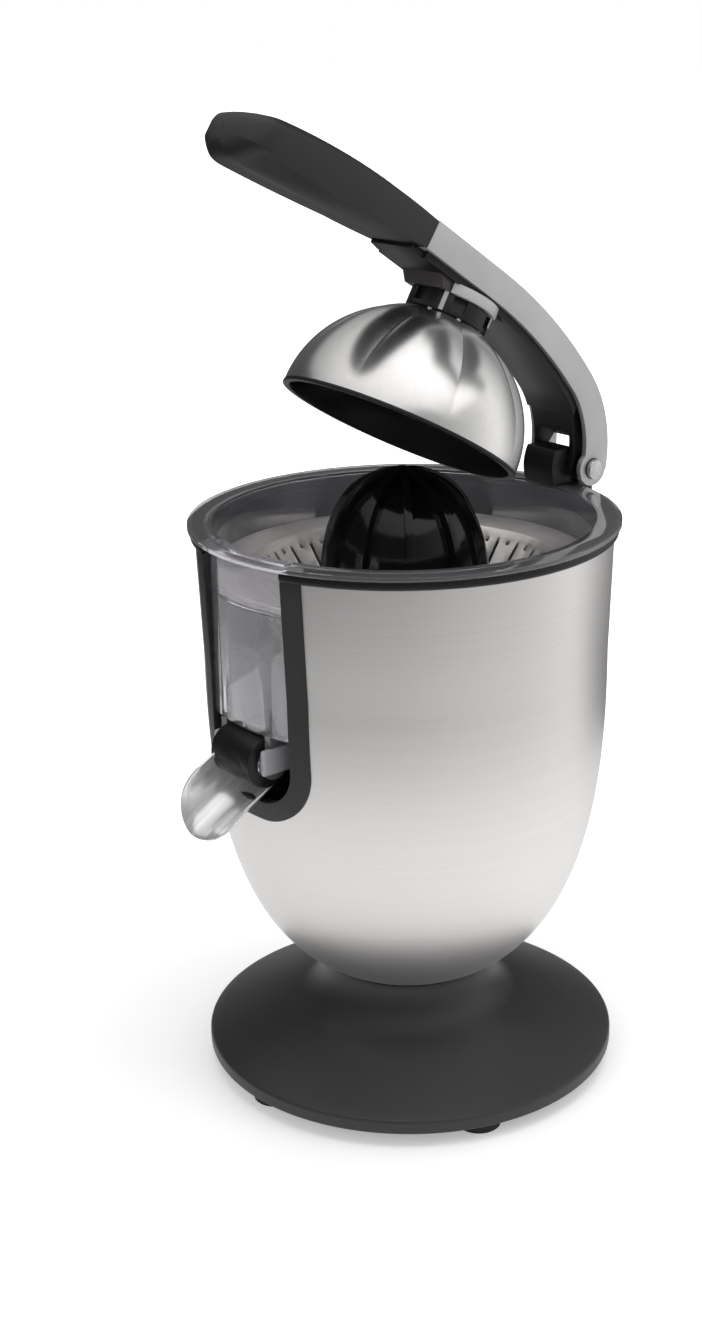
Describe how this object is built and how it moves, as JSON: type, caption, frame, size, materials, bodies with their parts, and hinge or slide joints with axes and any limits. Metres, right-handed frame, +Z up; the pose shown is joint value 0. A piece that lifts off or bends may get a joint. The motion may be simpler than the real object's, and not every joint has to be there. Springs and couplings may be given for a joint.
{
  "type": "electric citrus press",
  "caption": "Electric citrus press: steel body on a round foot, clear collector with sieve and ribbed cone, tilting spout, and a lever arm pressing a steel dome over the fruit.",
  "frame": {"origin": "on the table, under the axis of the round body, at the middle of the ring of feet", "axes": "+Z up along the body axis, -Y towards the spout and the front, +Y towards the lever hinge, +X to the right seen from the spout's own side"},
  "size_m": [0.18, 0.2131, 0.4102],
  "materials": {
    "brushed_body": "horizontal brushing",
    "polished_steel": "polished",
    "satin_arm": "satin",
    "sieve_steel": "satin",
    "charcoal": "fine grain",
    "matte_black": "matte",
    "gloss_black": "gloss",
    "clear_plastic": "clear",
    "rubber": "matte",
    "plain_steel": "plain",
    "cast_alloy": "as cast",
    "motor_iron": "stacked sheet",
    "copper": "enamelled wire",
    "bronze": "sintered",
    "nylon": "moulded",
    "red_plastic": "moulded"
  },
  "bodies": {
    "stand": {"body_shell": "brushed_body", "sieve": "sieve_steel", "base_cover": "charcoal", "spout_frame": "charcoal", "neck_collar": "matte_black", "base_plate": "matte_black", "switch_body": "matte_black", "hinge_bracket": "matte_black", "inner_housing": "gloss_black", "top_trim_ring": "gloss_black", "juice_collector": "clear_plastic", "rubber_feet": "rubber", "cord_gland": "rubber", "shaft_seal": "rubber", "base_screws": "plain_steel", "neck_bolts": "plain_steel", "gearbox_screws": "plain_steel", "idler_pin": "plain_steel", "motor_bearings": "plain_steel", "motor_bolts": "plain_steel", "bracket_screws": "plain_steel", "hinge_pin": "plain_steel", "gearbox_case": "cast_alloy", "gearbox_cover": "cast_alloy", "motor_bracket": "cast_alloy", "motor_stator": "motor_iron", "motor_windings": "copper", "spindle_bush": "bronze"},
    "rotor": {"rotor_core": "motor_iron", "rotor_shaft": "plain_steel", "motor_pinion": "bronze", "cooling_fan": "matte_black"},
    "idler": {"idler_gear": "nylon"},
    "output": {"output_gear": "nylon"},
    "spindle": {"drive_spindle": "plain_steel", "spindle_collar": "nylon", "spindle_spring": "plain_steel", "juicing_cone": "gloss_black"},
    "switch": {"switch_button": "red_plastic"},
    "spout": {"spout_barrel": "gloss_black", "spout_tube": "polished_steel"},
    "lever": {"lever_arm": "satin_arm", "lever_insert": "charcoal", "lever_grip": "matte_black", "grip_screws": "plain_steel", "hinge_bushes": "matte_black", "dome_stem": "charcoal"},
    "dome": {"dome_collar": "gloss_black", "dome_shell": "polished_steel", "dome_liner": "matte_black"}
  },
  "joints": [
    {"name": "lever_hinge", "type": "hinge", "parent": "stand", "child": "lever", "pos_m": [0, 0.0933, 0.2531], "axis": [-1, 0, 0], "range_deg": [-31, 45]},
    {"name": "dome_twist", "type": "hinge", "parent": "lever", "child": "dome", "pos_m": [0, 0.02461, 0.32692], "axis": [0, 0.515, 0.8572], "range_deg": [-60, 0]},
    {"name": "spout_tilt", "type": "hinge", "parent": "stand", "child": "spout", "pos_m": [0, -0.08255, 0.1613], "axis": [-1, 0, 0], "range_deg": [0, 35]},
    {"name": "idler_spin", "type": "hinge", "parent": "stand", "child": "idler", "pos_m": [0, 0.036, 0.13], "axis": [0, 0, 1], "continuous": true},
    {"name": "rotor_spin", "type": "hinge", "parent": "stand", "child": "rotor", "pos_m": [0, 0, 0.1], "axis": [0, 0, 1], "continuous": true},
    {"name": "output_spin", "type": "hinge", "parent": "stand", "child": "output", "pos_m": [0, 0, 0.145], "axis": [0, 0, 1], "continuous": true},
    {"name": "spindle_press", "type": "slide", "parent": "output", "child": "spindle", "axis": [0, 0, -1], "range_m": [0, 0.0025], "stiffness_N_per_m": 1500, "springref_m": -0.002, "deforming": ["spindle_spring"]},
    {"name": "switch_press", "type": "slide", "parent": "stand", "child": "switch", "axis": [0, 0, -1], "range_m": [0, 0.0025]}
  ],
  "couplings": [
    {"joint": "rotor_spin", "follows": "idler_spin", "ratio": -5},
    {"joint": "output_spin", "follows": "idler_spin", "ratio": -0.2},
    {"joint": "switch_press", "follows": "spindle_press", "ratio": 1}
  ]
}
